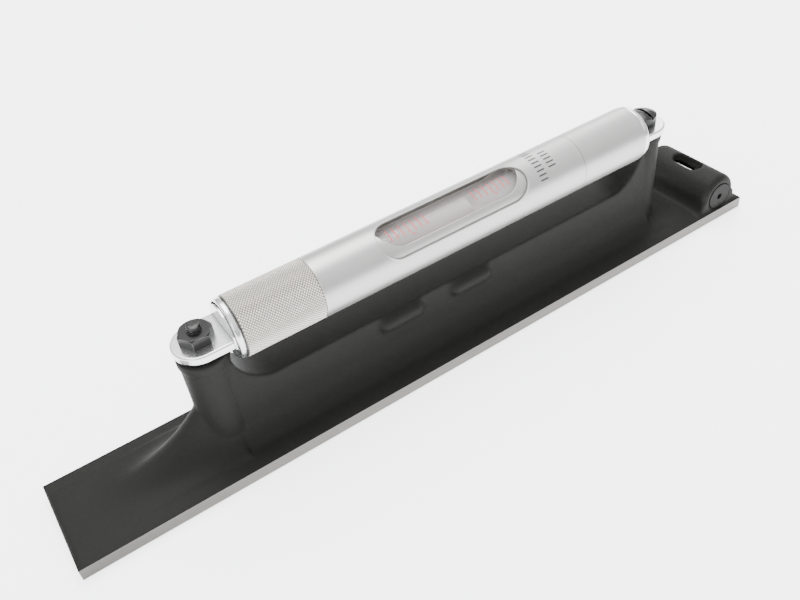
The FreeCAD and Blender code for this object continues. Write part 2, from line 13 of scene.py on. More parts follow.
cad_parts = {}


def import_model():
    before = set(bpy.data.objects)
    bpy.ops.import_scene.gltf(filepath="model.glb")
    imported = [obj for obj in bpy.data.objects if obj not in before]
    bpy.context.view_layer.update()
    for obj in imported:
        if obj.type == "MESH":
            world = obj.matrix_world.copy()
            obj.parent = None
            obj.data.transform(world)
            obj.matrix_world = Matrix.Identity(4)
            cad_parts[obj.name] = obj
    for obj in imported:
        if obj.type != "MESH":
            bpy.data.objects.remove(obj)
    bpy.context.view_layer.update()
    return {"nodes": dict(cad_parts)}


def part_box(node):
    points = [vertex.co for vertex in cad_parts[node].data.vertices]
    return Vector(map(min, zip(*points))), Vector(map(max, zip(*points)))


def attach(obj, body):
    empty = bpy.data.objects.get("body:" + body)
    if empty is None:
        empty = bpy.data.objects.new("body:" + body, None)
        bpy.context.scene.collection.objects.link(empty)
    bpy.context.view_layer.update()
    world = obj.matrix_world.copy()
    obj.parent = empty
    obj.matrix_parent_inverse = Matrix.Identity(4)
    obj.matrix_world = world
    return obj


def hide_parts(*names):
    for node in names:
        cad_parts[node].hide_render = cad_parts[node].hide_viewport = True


MM = 0.001
UP = Vector((0.0, 0.0, 1.0))
MERGE_WITHIN = 0.001 * MM
CUT_SLACK = 0.0001 * MM
KNURL_DEPTH = 0.2 * MM
SHADER_SAMPLES = 6
CREVICE_REACH = 0.8 * MM
CREVICE_OPENNESS = (0.25, 0.85)
EDGE_BEND = (0.01, 0.12)
BREAKUP_MM = 1.3
FINE_DETAIL = 4.0
LOG = logging.getLogger("machinist_level")
NODES: dict[str, bpy.types.Object] = {}


class Keep(Enum):
    """Side that stays when a mesh is cut."""

    ABOVE = "above"
    BELOW = "below"


# ---------------------------------------------------------------- bench work
def deselect_all() -> None:
    """Leave nothing selected, in object mode."""
    if bpy.context.object and bpy.context.object.mode != "OBJECT":
        bpy.ops.object.mode_set(mode="OBJECT")
    bpy.ops.object.select_all(action="DESELECT")


def pick(piece: bpy.types.Object) -> None:
    """Make a piece the only one selected and the active one.

    Args:
        piece: The object to select.
    """
    deselect_all()
    piece.select_set(True)
    bpy.context.view_layer.objects.active = piece


def settle(piece: bpy.types.Object) -> None:
    """Put a piece's place and turn into its mesh.

    Args:
        piece: The object whose origin goes to the frame's origin.
    """
    pick(piece)
    bpy.ops.object.transform_apply(location=True, rotation=True, scale=True)


def apply_modifiers(piece: bpy.types.Object) -> None:
    """Apply all of a piece's modifiers in their order.

    Args:
        piece: The object to finish.
    """
    pick(piece)
    for modifier in list(piece.modifiers):
        bpy.ops.object.modifier_apply(modifier=modifier.name)


def copy_node(node: str, name: str) -> bpy.types.Object:
    """Copy a node's mesh into a new piece, with its loose triangles merged.

    Args:
        node: Name of the node to copy.
        name: Name of the new piece.

    Returns:
        The new piece, at the frame's origin.
    """
    source = NODES[node]
    piece = bpy.data.objects.new(name, source.data.copy())
    bpy.context.scene.collection.objects.link(piece)
    piece.matrix_world = source.matrix_world.copy()
    piece.data.materials.clear()
    settle(piece)
    bpy.ops.object.mode_set(mode="EDIT")
    bpy.ops.mesh.select_all(action="SELECT")
    bpy.ops.mesh.remove_doubles(threshold=MERGE_WITHIN)
    bpy.ops.object.mode_set(mode="OBJECT")
    return piece


def cut(piece: bpy.types.Object, height: float, keep: Keep) -> None:
    """Cut a closed mesh with a level plane and close the cut.

    Args:
        piece: The object to cut.
        height: The plane's height.
        keep: The side that stays.
    """
    pick(piece)
    bpy.ops.object.mode_set(mode="EDIT")
    bpy.ops.mesh.select_all(action="SELECT")
    bpy.ops.mesh.bisect(
        plane_co=UP * height,
        plane_no=UP,
        use_fill=True,
        clear_inner=keep is Keep.ABOVE,
        clear_outer=keep is Keep.BELOW,
        threshold=CUT_SLACK,
    )
    bpy.ops.object.mode_set(mode="OBJECT")


def join(pieces: list[bpy.types.Object], name: str) -> bpy.types.Object:
    """Join pieces into one object.

    Args:
        pieces: The objects to join. The first one stays.
        name: Name of the joined piece.

    Returns:
        The joined piece.
    """
    deselect_all()
    for piece in pieces:
        piece.select_set(True)
    bpy.context.view_layer.objects.active = pieces[0]
    bpy.ops.object.join()
    pieces[0].name = name
    pieces[0].data.name = name
    return pieces[0]


def smooth(piece: bpy.types.Object, degrees: float = 35.0) -> None:
    """Shade a piece smooth where its faces meet at less than an angle.

    Args:
        piece: The object to shade.
        degrees: The angle past which an edge stays sharp.
    """
    pick(piece)
    bpy.ops.object.shade_smooth_by_angle(angle=math.radians(degrees))


def centre_of(node: str) -> Vector:
    """Middle of a node's box."""
    low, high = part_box(node)
    return (Vector(low) + Vector(high)) / 2


@dataclass(frozen=True)
class Roll:
    """A cylinder's surface that lies along X, for patches that are wrapped round it."""

    axis_z: float
    radius: float

    def patch(
        self,
        name: str,
        along: tuple[float, float],
        around: tuple[float, float],
        counts: tuple[int, int],
        sink: Callable[[int, int], float] = lambda column, row: 0.0,
    ) -> bpy.types.Object:
        """Wrap a grid round the cylinder.

        Args:
            name: Name of the new piece.
            along: First and last place along X.
            around: First and last angle from the top in degrees, positive towards +Y.
            counts: Number of faces along and around.
            sink: Depth below the surface at a column and a row of the grid.

        Returns:
            The open patch, with its faces outward.
        """
        columns, rows = counts
        deselect_all()
        bpy.ops.mesh.primitive_grid_add(x_subdivisions=columns, y_subdivisions=rows, size=1.0)
        piece = bpy.context.object
        piece.name = name
        for vertex in piece.data.vertices:
            column = round((vertex.co.x + 0.5) * columns)
            row = round((vertex.co.y + 0.5) * rows)
            depth = self.radius - sink(column, row)
            angle = math.radians(around[0] + (around[1] - around[0]) * row / rows)
            x = along[0] + (along[1] - along[0]) * column / columns
            vertex.co = (x, depth * math.sin(angle), self.axis_z + depth * math.cos(angle))
        return piece

    def shell(self, piece: bpy.types.Object, wall: float) -> None:
        """Merge a patch's seam and give it a wall towards the axis.

        Args:
            piece: The patch.
            wall: Thickness of the wall.
        """
        pick(piece)
        bpy.ops.object.mode_set(mode="EDIT")
        bpy.ops.mesh.select_all(action="SELECT")
        bpy.ops.mesh.remove_doubles(threshold=MERGE_WITHIN)
        bpy.ops.object.mode_set(mode="OBJECT")
        thick = piece.modifiers.new("wall", "SOLIDIFY")
        thick.thickness = wall
        thick.offset = -1.0
        thick.use_even_offset = True
        apply_modifiers(piece)


# ---------------------------------------------------------------- shader groups
class Graph:
    """Small helper that adds and joins the nodes of one node tree."""

    def __init__(self, tree: bpy.types.NodeTree) -> None:
        """Start on a tree, which may already hold nodes."""
        self.tree = tree

    def add(self, kind: str, **settings: object) -> bpy.types.Node:
        """Add a node and set its properties.

        Args:
            kind: Blender's name of the node type.
            **settings: Properties to set on the node.

        Returns:
            The new node.
        """
        node = self.tree.nodes.new(kind)
        for key, value in settings.items():
            setattr(node, key, value)
        return node

    def link(self, source: bpy.types.NodeSocket, target: bpy.types.NodeSocket) -> None:
        """Join an output to an input."""
        self.tree.links.new(source, target)

    def math(self, operation: str, *inputs: object) -> bpy.types.NodeSocket:
        """Add a Math node.

        Args:
            operation: Blender's name of the operation.
            *inputs: Sockets or plain numbers, in order.

        Returns:
            The node's output.
        """
        node = self.add("ShaderNodeMath", operation=operation)
        for index, value in enumerate(inputs):
            if isinstance(value, bpy.types.NodeSocket):
                self.link(value, node.inputs[index])
            else:
                node.inputs[index].default_value = value
        return node.outputs[0]

    def mix_colour(
        self, factor: bpy.types.NodeSocket, first: object, second: object
    ) -> bpy.types.NodeSocket:
        """Mix two colours.

        Args:
            factor: Share of the second colour.
            first: Socket or RGB colour at 0.
            second: Socket or RGB colour at 1.

        Returns:
            The mixed colour.
        """
        node = self.add("ShaderNodeMix", data_type="RGBA")
        self.link(factor, node.inputs[0])
        for index, value in ((6, first), (7, second)):
            if isinstance(value, bpy.types.NodeSocket):
                self.link(value, node.inputs[index])
            else:
                node.inputs[index].default_value = (*value, 1.0)
        return node.outputs[2]

    def place(self) -> bpy.types.NodeSocket:
        """Object coordinates in metres."""
        return self.add("ShaderNodeTexCoord").outputs["Object"]

    def split(self) -> bpy.types.Node:
        """Object coordinates with one output for each axis."""
        node = self.add("ShaderNodeSeparateXYZ")
        self.link(self.place(), node.inputs[0])
        return node

    def from_axis(self, split: bpy.types.Node, height: float) -> bpy.types.NodeSocket:
        """Distance from a level line along X.

        Args:
            split: The separated coordinates.
            height: The line's height.

        Returns:
            The distance in metres.
        """
        rise = self.math("SUBTRACT", split.outputs["Z"], height)
        square = self.math(
            "ADD", self.math("POWER", rise, 2.0), self.math("POWER", split.outputs["Y"], 2.0)
        )
        return self.math("SQRT", square)

    def noise(
        self, place: bpy.types.NodeSocket, grain_mm: float, detail: float = 3.0
    ) -> bpy.types.NodeSocket:
        """Noise with grains of a given size.

        Args:
            place: The coordinates.
            grain_mm: Size of a grain in millimetres.
            detail: Octaves of finer noise.

        Returns:
            The noise value.
        """
        node = self.add("ShaderNodeTexNoise")
        node.inputs["Scale"].default_value = 1.0 / (grain_mm * MM)
        node.inputs["Detail"].default_value = detail
        self.link(place, node.inputs["Vector"])
        return node.outputs[0]

    def ramp(self, value: bpy.types.NodeSocket, low: float, high: float) -> bpy.types.NodeSocket:
        """Stretch a value so that low becomes 0 and high becomes 1, with smooth ends."""
        node = self.add("ShaderNodeMapRange", interpolation_type="SMOOTHSTEP")
        self.link(value, node.inputs["Value"])
        node.inputs["From Min"].default_value = low
        node.inputs["From Max"].default_value = high
        return node.outputs[0]

    def bump(
        self, height: bpy.types.NodeSocket, depth_mm: float, normal: bpy.types.NodeSocket | None = None
    ) -> bpy.types.NodeSocket:
        """Turn a height from 0 to 1 into a normal.

        Args:
            height: The height.
            depth_mm: What a height of 1 means, in millimetres.
            normal: A normal to start from.

        Returns:
            The new normal.
        """
        node = self.add("ShaderNodeBump")
        node.inputs["Distance"].default_value = depth_mm * MM
        self.link(height, node.inputs["Height"])
        if normal is not None:
            self.link(normal, node.inputs["Normal"])
        return node.outputs[0]


def new_group(
    name: str, inputs: dict[str, float], outputs: dict[str, str]
) -> tuple[Graph, bpy.types.Node, bpy.types.Node]:
    """Make an empty shader group with named sockets.

    Args:
        name: Name of the group.
        inputs: Input names with their default values.
        outputs: Output names with their socket types.

    Returns:
        The group's graph, its input node and its output node.
    """
    tree = bpy.data.node_groups.new(name, "ShaderNodeTree")
    for label, value in inputs.items():
        socket = tree.interface.new_socket(label, in_out="INPUT", socket_type="NodeSocketFloat")
        socket.default_value = value
    for label, kind in outputs.items():
        tree.interface.new_socket(label, in_out="OUTPUT", socket_type=kind)
    graph = Graph(tree)
    return graph, graph.add("NodeGroupInput"), graph.add("NodeGroupOutput")


def build_edge_group() -> bpy.types.NodeTree:
    """Group that rounds edges a little and finds them.

    Returns:
        A group with a Normal, a Mask that is 1 on edges, where wear and painted highlights go, and a
        Crevice that is 1 in corners, where painted shade goes.
    """
    graph, given, result = new_group(
        "edge_wear_highlight_and_crevice_shade",
        {"Radius": 0.15 * MM, "Breakup": 0.5},
        {"Normal": "NodeSocketVector", "Mask": "NodeSocketFloat", "Crevice": "NodeSocketFloat"},
    )
    # Ambient occlusion finds corners and creases; its Crevice output is used to paint shade there.
    shade = graph.add("ShaderNodeAmbientOcclusion", samples=SHADER_SAMPLES, only_local=True)
    shade.inputs["Distance"].default_value = CREVICE_REACH
    openness = graph.ramp(shade.outputs["AO"], *CREVICE_OPENNESS)
    graph.link(graph.math("SUBTRACT", 1.0, openness), result.inputs["Crevice"])
    bevel = graph.add("ShaderNodeBevel", samples=SHADER_SAMPLES)
    graph.link(given.outputs["Radius"], bevel.inputs["Radius"])
    flat = graph.add("ShaderNodeNewGeometry").outputs["Normal"]
    facing = graph.add("ShaderNodeVectorMath", operation="DOT_PRODUCT")
    graph.link(bevel.outputs[0], facing.inputs[0])
    graph.link(flat, facing.inputs[1])
    edge = graph.ramp(graph.math("SUBTRACT", 1.0, facing.outputs["Value"]), *EDGE_BEND)
    breakup = graph.math("MULTIPLY", graph.noise(graph.place(), BREAKUP_MM), given.outputs["Breakup"])
    graph.link(graph.math("SUBTRACT", edge, breakup), result.inputs["Mask"])
    graph.link(bevel.outputs[0], result.inputs["Normal"])
    return graph.tree


def build_grain_group() -> bpy.types.NodeTree:
    """Group with the fine grain of a finished surface.

    Returns:
        A group with a Height for bump and a Patch that varies slowly.
    """
    graph, given, result = new_group(
        "surface_grain",
        {"Fine Scale": 2500.0, "Coarse Scale": 120.0, "Coarse Share": 0.3},
        {"Height": "NodeSocketFloat", "Patch": "NodeSocketFloat"},
    )
    place = graph.place()
    fine = graph.add("ShaderNodeTexNoise")
    coarse = graph.add("ShaderNodeTexNoise")
    fine.inputs["Detail"].default_value = FINE_DETAIL
    for node, label in ((fine, "Fine Scale"), (coarse, "Coarse Scale")):
        graph.link(place, node.inputs["Vector"])
        graph.link(given.outputs[label], node.inputs["Scale"])
    share = graph.math("MULTIPLY", coarse.outputs[0], given.outputs["Coarse Share"])
    graph.link(graph.math("ADD", fine.outputs[0], share), result.inputs["Height"])
    graph.link(coarse.outputs[0], result.inputs["Patch"])
    return graph.tree


# ---------------------------------------------------------------- finishes
@dataclass(frozen=True)
class Finish:
    """A surface finish with grain, worn edges with painted highlights and painted shade in crevices."""

    name: str
    colour: tuple[float, float, float]
    roughness: float
    metallic: float = 0.0
    fine_mm: float = 0.4
    coarse_mm: float = 8.0
    bump_mm: float = 0.01
    patch: float = 0.1
    edge_mm: float = 0.15
    edge_wear_and_highlight_colour: tuple[float, float, float] | None = None
    gloss: float = 0.5
    painted_crevice_shade: float = 0.0
    painted_crevice_darkness: float = 0.1
    rough_drop: float = 0.06
    rough_spread: float = 0.1

    def start(self) -> tuple[bpy.types.Material, Graph, bpy.types.Node]:
        """Make an empty material.

        Returns:
            The material, its graph and its Principled shader.
        """
        material = bpy.data.materials.new(self.name)
        material.use_nodes = True
        graph = Graph(material.node_tree)
        shader = material.node_tree.nodes["Principled BSDF"]
        shader.inputs["Metallic"].default_value = self.metallic
        shader.inputs["Roughness"].default_value = self.roughness
        shader.inputs["Specular IOR Level"].default_value = self.gloss
        return material, graph, shader

    def build(self, groups: "Groups") -> bpy.types.Material:
        """Make the material.

        Args:
            groups: The shared shader groups.

        Returns:
            The finished material.
        """
        material, graph, shader = self.start()
        colour, height, edges = self.surface(graph, groups)
        graph.link(colour, shader.inputs["Base Color"])
        graph.link(self.rough(graph, height), shader.inputs["Roughness"])
        graph.link(graph.bump(height, self.bump_mm, edges), shader.inputs["Normal"])
        return material

    def surface(
        self, graph: Graph, groups: "Groups"
    ) -> tuple[bpy.types.NodeSocket, bpy.types.NodeSocket, bpy.types.NodeSocket]:
        """Lay the grain, the edge wear with its painted highlights and the painted crevice shade.

        Args:
            graph: The material's graph.
            groups: The shared shader groups.

        Returns:
            Colour, grain height and edge normal.
        """
        grain = graph.add("ShaderNodeGroup")
        grain.node_tree = groups.grain
        grain.inputs["Fine Scale"].default_value = 1.0 / (self.fine_mm * MM)
        grain.inputs["Coarse Scale"].default_value = 1.0 / (self.coarse_mm * MM)
        edge = graph.add("ShaderNodeGroup")
        edge.node_tree = groups.edges
        edge.inputs["Radius"].default_value = self.edge_mm * MM
        dark = tuple(channel * (1.0 - self.patch) for channel in self.colour)
        light = tuple(min(channel * (1.0 + self.patch), 1.0) for channel in self.colour)
        colour = graph.mix_colour(grain.outputs["Patch"], dark, light)
        # Edges are lightened towards the edge colour: partly wear, partly painted highlight.
        if self.edge_wear_and_highlight_colour is not None:
            colour = graph.mix_colour(edge.outputs["Mask"], colour, self.edge_wear_and_highlight_colour)
        # Corners are darkened towards a share of the colour: painted shade.
        if self.painted_crevice_shade:
            crevice_shade_mask = graph.math("MULTIPLY", edge.outputs["Crevice"], self.painted_crevice_shade)
            shaded_colour = tuple(channel * self.painted_crevice_darkness for channel in self.colour)
            colour = graph.mix_colour(crevice_shade_mask, colour, shaded_colour)
        return colour, grain.outputs["Height"], edge.outputs["Normal"]

    def rough(self, graph: Graph, height: bpy.types.NodeSocket) -> bpy.types.NodeSocket:
        """Roughness that follows the grain a little."""
        spread = graph.math("MULTIPLY", height, self.rough_spread)
        return graph.math("ADD", self.roughness - self.rough_drop, spread)


@dataclass(frozen=True)
class Groups:
    """Shader groups that the finishes share."""

    edges: bpy.types.NodeTree
    grain: bpy.types.NodeTree


@dataclass(frozen=True)
class CastingFinish(Finish):
    """Black satin coat with the flange's sides and sole ground bare."""

    band_top: float = 3.3 * MM
    band_margin: float = 0.01 * MM
    upward_above: float = 0.5
    bare: tuple[float, float, float] = (0.15, 0.143, 0.132)
    bare_metallic: float = 0.9
    bare_polish: float = 0.2
    lay_mm: float = 0.25
    lay_squash: float = 0.05
    lay_dark: float = 0.8
    lay_light: float = 1.2

    def build(self, groups: Groups) -> bpy.types.Material:
        """Make the material, bare metal where the stone has been."""
        material, graph, shader = self.start()
        colour, height, edges = self.surface(graph, groups)
        split = graph.split()
        low = graph.math("LESS_THAN", split.outputs["Z"], self.band_top - self.band_margin)
        normal = graph.add("ShaderNodeSeparateXYZ")
        graph.link(graph.add("ShaderNodeNewGeometry").outputs["Normal"], normal.inputs[0])
        upward = graph.math("GREATER_THAN", normal.outputs["Z"], self.upward_above)
        bare = graph.math("MULTIPLY", low, graph.math("SUBTRACT", 1.0, upward))
        streaks = graph.add("ShaderNodeMapping")
        streaks.inputs["Scale"].default_value = (self.lay_squash, 1.0, 1.0)
        graph.link(graph.place(), streaks.inputs["Vector"])
        lay = graph.noise(streaks.outputs[0], self.lay_mm)
        dark = tuple(channel * self.lay_dark for channel in self.bare)
        light = tuple(channel * self.lay_light for channel in self.bare)
        metal = graph.mix_colour(lay, dark, light)
        graph.link(graph.mix_colour(bare, colour, metal), shader.inputs["Base Color"])
        graph.link(graph.math("MULTIPLY", bare, self.bare_metallic), shader.inputs["Metallic"])
        polish = graph.math("MULTIPLY", bare, self.bare_polish)
        rough = graph.math("SUBTRACT", self.rough(graph, height), polish)
        graph.link(rough, shader.inputs["Roughness"])
        graph.link(graph.bump(height, self.bump_mm, edges), shader.inputs["Normal"])
        return material


@dataclass(frozen=True)
class LinedTubeFinish(Finish):
    """Satin metal tube that is painted white on its inside."""

    axis_z: float = 33.5 * MM
    bore: float = 6.0 * MM
    bore_margin: float = 0.1 * MM
    lining: tuple[float, float, float] = (0.83, 0.79, 0.77)

    def build(self, groups: Groups) -> bpy.types.Material:
        """Make the material, white inside the bore."""
        material, graph, shader = self.start()
        colour, height, edges = self.surface(graph, groups)
        split = graph.split()
        radius = graph.from_axis(split, self.axis_z)
        inside = graph.math("LESS_THAN", radius, self.bore + self.bore_margin)
        graph.link(graph.mix_colour(inside, colour, self.lining), shader.inputs["Base Color"])
        outside = graph.math("SUBTRACT", 1.0, inside)
        graph.link(graph.math("MULTIPLY", outside, self.metallic), shader.inputs["Metallic"])
        graph.link(self.rough(graph, height), shader.inputs["Roughness"])
        graph.link(graph.bump(height, self.bump_mm, edges), shader.inputs["Normal"])
        return material


@dataclass(frozen=True)
class SleeveFinish(Finish):
    """Satin metal with painted highlight on the knurl's points, painted shade in its grooves and a fine
    dark seam line.
    """

    axis_z: float = 33.5 * MM
    radius: float = 7.45 * MM
    knurl_end: float = -32.4 * MM
    knurl_depth: float = KNURL_DEPTH
    knurl_point_colour_with_highlight: tuple[float, float, float] = (0.92, 0.89, 0.82)
    groove_shade_and_seam_colour: tuple[float, float, float] = (0.24, 0.225, 0.195)
    point_share: float = 0.25
    seam: float = 43.7 * MM
    seam_half_width: float = 0.09 * MM

    def build(self, groups: Groups) -> bpy.types.Material:
        """Make the material: painted shade where the knurl sinks, painted highlight on its points, and
        darker where the seam sinks.
        """
        material, graph, shader = self.start()
        colour, height, edges = self.surface(graph, groups)
        split = graph.split()
        radius = graph.from_axis(split, self.axis_z)
        valley = self.radius - self.knurl_depth
        point = self.radius - self.point_share * self.knurl_depth
        # The knurl's points are painted light and its grooves painted dark: painted highlight and
        # painted shade. The seam uses the groove colour as a dark line.
        peak = graph.ramp(radius, valley, point)
        knurled = graph.math("LESS_THAN", split.outputs["X"], self.knurl_end)
        diamonds = graph.mix_colour(peak, self.groove_shade_and_seam_colour, self.knurl_point_colour_with_highlight)
        seam = graph.math("COMPARE", split.outputs["X"], self.seam, self.seam_half_width)
        lined = graph.mix_colour(seam, colour, self.groove_shade_and_seam_colour)
        graph.link(graph.mix_colour(knurled, lined, diamonds), shader.inputs["Base Color"])
        graph.link(self.rough(graph, height), shader.inputs["Roughness"])
        graph.link(graph.bump(height, self.bump_mm, edges), shader.inputs["Normal"])
        return material


@dataclass(frozen=True)
class ThreadedFinish(Finish):
    """Black steel with a fine thread along Z."""

    pitch_mm: float = 0.6
    ridge_mm: float = 0.3

    def build(self, groups: Groups) -> bpy.types.Material:
        """Make the material with the thread's ridges."""
        material, graph, shader = self.start()
        colour, height, edges = self.surface(graph, groups)
        split = graph.split()
        turns = graph.math("MULTIPLY", split.outputs["Z"], 1.0 / (self.pitch_mm * MM))
        ridge = graph.math("PINGPONG", turns, 0.5)
        graph.link(colour, shader.inputs["Base Color"])
        graph.link(self.rough(graph, height), shader.inputs["Roughness"])
        graph.link(graph.bump(ridge, self.ridge_mm, edges), shader.inputs["Normal"])
        return material


@dataclass(frozen=True)
class GlassFinish:
    """Clear glass or liquid that shows its edges and gloss."""

    name: str
    colour: tuple[float, float, float]
    roughness: float = 0.03
    clear: float = 0.06
    edge: float = 0.5
    blend: float = 0.25

    def build(self) -> bpy.types.Material:
        """Make the material.

        Returns:
            A see-through material that thickens towards its edges.
        """
        material = bpy.data.materials.new(self.name)
        material.use_nodes = True
        graph = Graph(material.node_tree)
        shader = material.node_tree.nodes["Principled BSDF"]
        shader.inputs["Roughness"].default_value = self.roughness
        shader.inputs["Base Color"].default_value = (*self.colour, 1.0)
        facing = graph.add("ShaderNodeLayerWeight")
        facing.inputs["Blend"].default_value = self.blend
        share = graph.add("ShaderNodeMapRange")
        graph.link(facing.outputs["Facing"], share.inputs["Value"])
        share.inputs["To Min"].default_value = self.clear
        share.inputs["To Max"].default_value = self.edge
        graph.link(share.outputs[0], shader.inputs["Alpha"])
        return material


class Palette:
    """All finishes of the level, made once."""

    def __init__(self) -> None:
        """Build the shared groups and every material."""
        groups = Groups(build_edge_group(), build_grain_group())
        axis = centre_of("vial_tube").z
        self.casting = CastingFinish(
            name="black_casting", colour=(0.0085, 0.0085, 0.0074), roughness=0.6,
            fine_mm=0.45, coarse_mm=6.0, bump_mm=0.08, patch=0.12,
            edge_mm=0.3, edge_wear_and_highlight_colour=(0.024, 0.024, 0.022), gloss=0.16,
        ).build(groups)
        self.sleeve = SleeveFinish(
            name="satin_sleeve", colour=(0.50, 0.50, 0.488), roughness=0.38, metallic=0.85,
            fine_mm=0.15, coarse_mm=5.0, bump_mm=0.008, patch=0.04,
            edge_mm=0.1, edge_wear_and_highlight_colour=(0.80, 0.80, 0.79), axis_z=axis,
        ).build(groups)
        self.tube = LinedTubeFinish(
            name="lined_tube", colour=(0.50, 0.50, 0.485), roughness=0.36, metallic=0.85,
            fine_mm=0.2, coarse_mm=5.0, bump_mm=0.004, patch=0.05,
            edge_mm=0.12, edge_wear_and_highlight_colour=(0.80, 0.80, 0.78), axis_z=axis,
        ).build(groups)
        self.bright = Finish(
            name="bright_plug", colour=(0.74, 0.74, 0.75), roughness=0.2, metallic=0.95,
            fine_mm=0.25, coarse_mm=4.0, bump_mm=0.003, patch=0.03, edge_mm=0.12, painted_crevice_shade=0.9,
        ).build(groups)
        self.black = Finish(
            name="black_oxide", colour=(0.008, 0.008, 0.0075), roughness=0.24, metallic=0.2,
            fine_mm=0.3, coarse_mm=2.0, bump_mm=0.01, patch=0.15,
            edge_mm=0.2, edge_wear_and_highlight_colour=(0.20, 0.20, 0.195), gloss=0.4,
        ).build(groups)
        self.thread = ThreadedFinish(
            name="black_thread", colour=(0.03, 0.03, 0.029), roughness=0.25, metallic=0.6,
            fine_mm=0.3, coarse_mm=2.0, bump_mm=0.01, patch=0.15,
            edge_mm=0.2, edge_wear_and_highlight_colour=(0.25, 0.25, 0.245),
        ).build(groups)
        self.spring = Finish(
            name="spring_steel", colour=(0.42, 0.42, 0.43), roughness=0.3, metallic=0.95,
            fine_mm=0.2, coarse_mm=2.0, bump_mm=0.004, patch=0.08, edge_mm=0.05,
        ).build(groups)
        self.plaster = Finish(
            name="setting_plaster", colour=(0.80, 0.79, 0.74), roughness=0.85, metallic=0.0,
            fine_mm=0.3, coarse_mm=2.0, bump_mm=0.05, patch=0.06, edge_mm=0.1,
        ).build(groups)
        self.red = Finish(
            name="red_lines", colour=(0.70, 0.06, 0.07), roughness=0.5, metallic=0.0,
            fine_mm=0.1, coarse_mm=1.0, bump_mm=0.002, patch=0.1, edge_mm=0.02,
        ).build(groups)
        self.engraving = Finish(
            name="black_engraving", colour=(0.05, 0.05, 0.05), roughness=0.7, metallic=0.0,
            fine_mm=0.1, coarse_mm=1.0, bump_mm=0.002, patch=0.1, edge_mm=0.02,
        ).build(groups)
        self.glass = GlassFinish("vial_glass", (0.95, 0.94, 0.93)).build()
        self.milky_glass = GlassFinish(
            "cross_vial_glass", (0.95, 0.94, 0.88), roughness=0.2, clear=0.92, edge=1.0
        ).build()
        self.spirit = GlassFinish("vial_spirit", (1.0, 0.90, 0.885), clear=0.34, edge=0.5).build()
        self.bubble = GlassFinish("bubble_skin", (0.98, 0.97, 0.96), clear=0.10, edge=0.75).build()


def dress(piece: bpy.types.Object, material: bpy.types.Material) -> None:
    """Give a piece one material in all its slots.

    Args:
        piece: The object.
        material: Its finish.
    """
    if not piece.material_slots:
        piece.data.materials.append(material)
    for slot in piece.material_slots:
        slot.material = material


def register(piece: bpy.types.Object, body: str, nodes: tuple[str, ...] = ()) -> None:
    """Put a new piece on its body and hide the nodes that it replaces.

    Args:
        piece: The new piece.
        body: The body that it moves with.
        nodes: Nodes that it replaces.
    """
    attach(piece, body)
    if nodes:
        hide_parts(*nodes)
    LOG.info("%s rides on %s", piece.name, body)


# ---------------------------------------------------------------- sub-assemblies
@dataclass
class Casting:
    """The base: cast and coated above, with a sharp ground flange below."""

    palette: Palette
    voxel: float = 0.44 * MM
    band_height: float = 3.3 * MM
    overlap: float = 0.3 * MM
    smoothing_rounds: int = 5
    smoothing_share: float = 0.5
    sharp_angle: float = 30.0

    def build(self) -> bpy.types.Object:
        """Model and dress the casting.

        Returns:
            The finished piece.
        """
        upper = copy_node("base_casting", "casting_upper")
        remesh = upper.modifiers.new("cast_skin", "REMESH")
        remesh.mode = "VOXEL"
        remesh.voxel_size = self.voxel
        soften = upper.modifiers.new("cast_radius", "SMOOTH")
        soften.factor = self.smoothing_share
        soften.iterations = self.smoothing_rounds
        apply_modifiers(upper)
        cut(upper, self.band_height - self.overlap, Keep.ABOVE)
        lower = copy_node("base_casting", "ground_flange")
        cut(lower, self.band_height, Keep.BELOW)
        piece = join([upper, lower], "casting")
        smooth(piece, self.sharp_angle)
        dress(piece, self.palette.casting)
        register(piece, "frame", ("base_casting",))
        return piece


